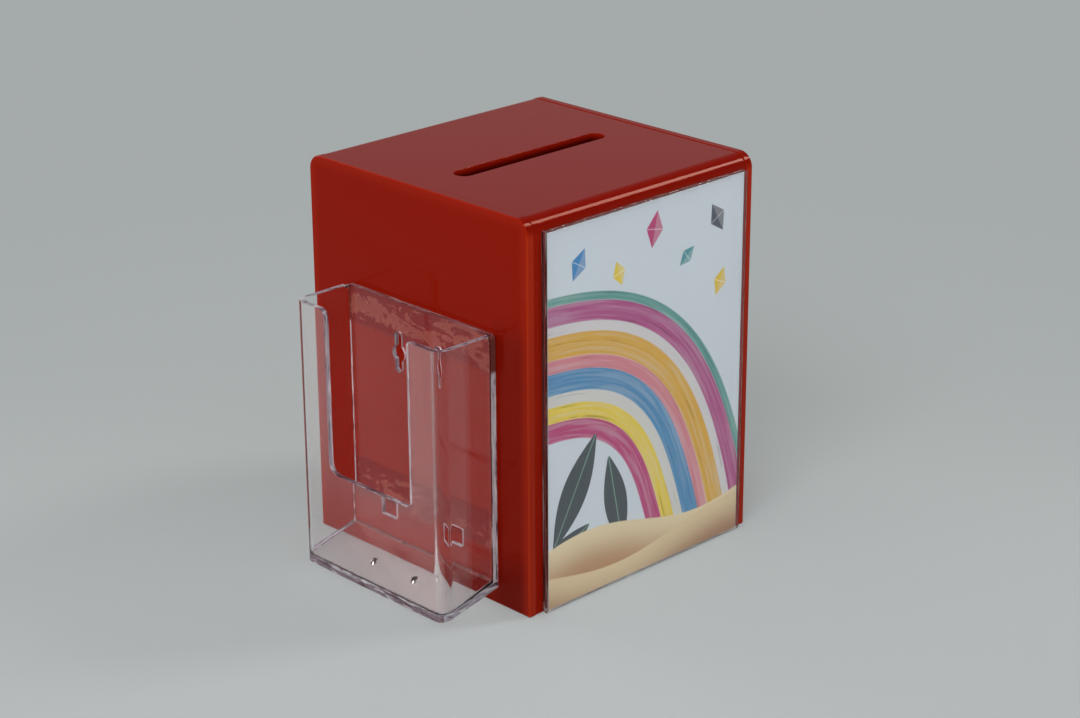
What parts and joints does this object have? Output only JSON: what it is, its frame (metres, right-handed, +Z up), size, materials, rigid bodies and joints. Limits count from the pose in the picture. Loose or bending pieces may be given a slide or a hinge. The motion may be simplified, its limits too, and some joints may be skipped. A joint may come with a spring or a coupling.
{
  "type": "suggestion box",
  "caption": "Acrylic ballot or suggestion box with a slotted top, a lockable rear door, a front poster pocket and a clear leaflet holder on one side.",
  "frame": {"origin": "middle of the box's footprint, on the underside of the base and side panels", "axes": "+Z up; the poster faces -Y and the door is at +Y; the leaflet holder is on the -X side"},
  "size_m": [0.2104, 0.1956, 0.22],
  "materials": {
    "red_acrylic": "polished cast acrylic sheet",
    "clear_acrylic": "clear folded acrylic sheet",
    "clear_styrene": "clear moulded plastic",
    "clear_tape": "clear double-sided tape",
    "printed_card": null,
    "zinc_steel": "zinc-plated steel",
    "lock_chrome": "chromed lock body",
    "key_steel": "nickel-plated key"
  },
  "bodies": {
    "box": {"wrap_panel": "red_acrylic", "left_side_panel": "red_acrylic", "right_side_panel": "red_acrylic", "base_panel": "red_acrylic", "lock_keeper": "red_acrylic", "poster_holder": "clear_acrylic", "leaflet_holder": "clear_styrene", "leaflet_tape_upper": "clear_tape", "leaflet_tape_lower": "clear_tape", "hinge_leaf_frame_left": "zinc_steel", "hinge_leaf_frame_right": "zinc_steel", "hinge_pin_left": "zinc_steel", "hinge_pin_right": "zinc_steel", "frame_bolt_left_outer": "zinc_steel", "frame_bolt_left_inner": "zinc_steel", "frame_bolt_right_outer": "zinc_steel", "frame_bolt_right_inner": "zinc_steel", "frame_nut_left_outer": "zinc_steel", "frame_nut_left_inner": "zinc_steel", "frame_nut_right_outer": "zinc_steel", "frame_nut_right_inner": "zinc_steel"},
    "door": {"rear_door": "red_acrylic", "lock_housing": "lock_chrome", "lock_nut": "zinc_steel", "hinge_leaf_door_left": "zinc_steel", "hinge_leaf_door_right": "zinc_steel", "door_bolt_left_outer": "zinc_steel", "door_bolt_left_inner": "zinc_steel", "door_bolt_right_outer": "zinc_steel", "door_bolt_right_inner": "zinc_steel", "door_nut_left_outer": "zinc_steel", "door_nut_left_inner": "zinc_steel", "door_nut_right_outer": "zinc_steel", "door_nut_right_inner": "zinc_steel"},
    "lock_core": {"lock_plug": "lock_chrome", "lock_cam": "zinc_steel", "cam_washer": "zinc_steel", "cam_screw": "zinc_steel"},
    "key": {"key": "key_steel"},
    "poster": {"poster_card": "printed_card"}
  },
  "joints": [
    {"name": "door_swing", "type": "hinge", "parent": "box", "child": "door", "pos_m": [0, 0.0876, 0.188], "axis": [1, 0, 0], "range_deg": [0, 170]},
    {"name": "lock_turn", "type": "hinge", "parent": "door", "child": "lock_core", "pos_m": [0, 0.085, 0.02597], "axis": [0, 1, 0], "range_deg": [0, 90]},
    {"name": "key_pull", "type": "slide", "parent": "lock_core", "child": "key", "axis": [0, 1, 0], "range_m": [0, 0.0165]},
    {"name": "poster_lift", "type": "slide", "parent": "box", "child": "poster", "axis": [0, 0, 1], "range_m": [0, 0.212]}
  ]
}
